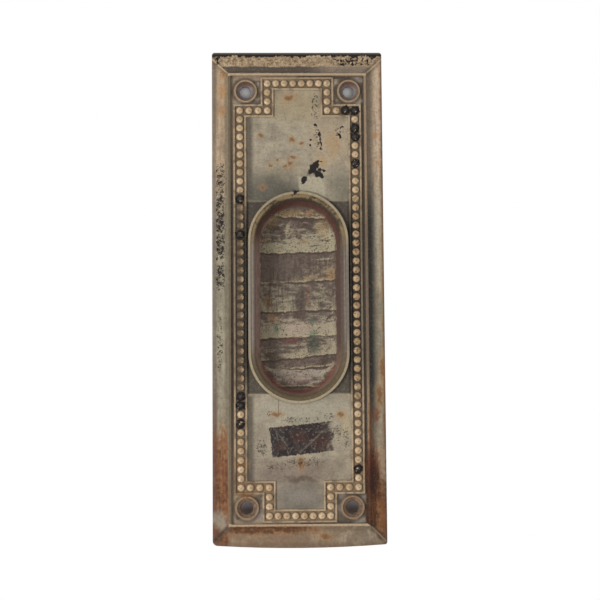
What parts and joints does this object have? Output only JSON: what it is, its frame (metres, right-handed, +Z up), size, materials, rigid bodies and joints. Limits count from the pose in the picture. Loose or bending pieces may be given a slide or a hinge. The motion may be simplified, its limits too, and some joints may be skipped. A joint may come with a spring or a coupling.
{
  "type": "pocket door pull",
  "caption": "Rectangular flush pull for a sliding door: struck sheet-steel plate with mitred frame, beaded border, countersunk screw holes and an oblong finger cup, worn paint.",
  "frame": {"origin": "centre of the rectangle of screw holes, on the plane of the door's face that the plate's back lies on", "axes": "+Z up and +X to the right as it hangs on the door, the front faces -Y, and the cup goes into the door towards +Y"},
  "size_m": [0.0508, 0.0107, 0.1469],
  "materials": {
    "worn_paint": "old cream-grey brushed paint over black, chipped, dirty and rusty"
  },
  "bodies": {
    "root": {"pull_plate": "worn_paint"}
  },
  "joints": []
}
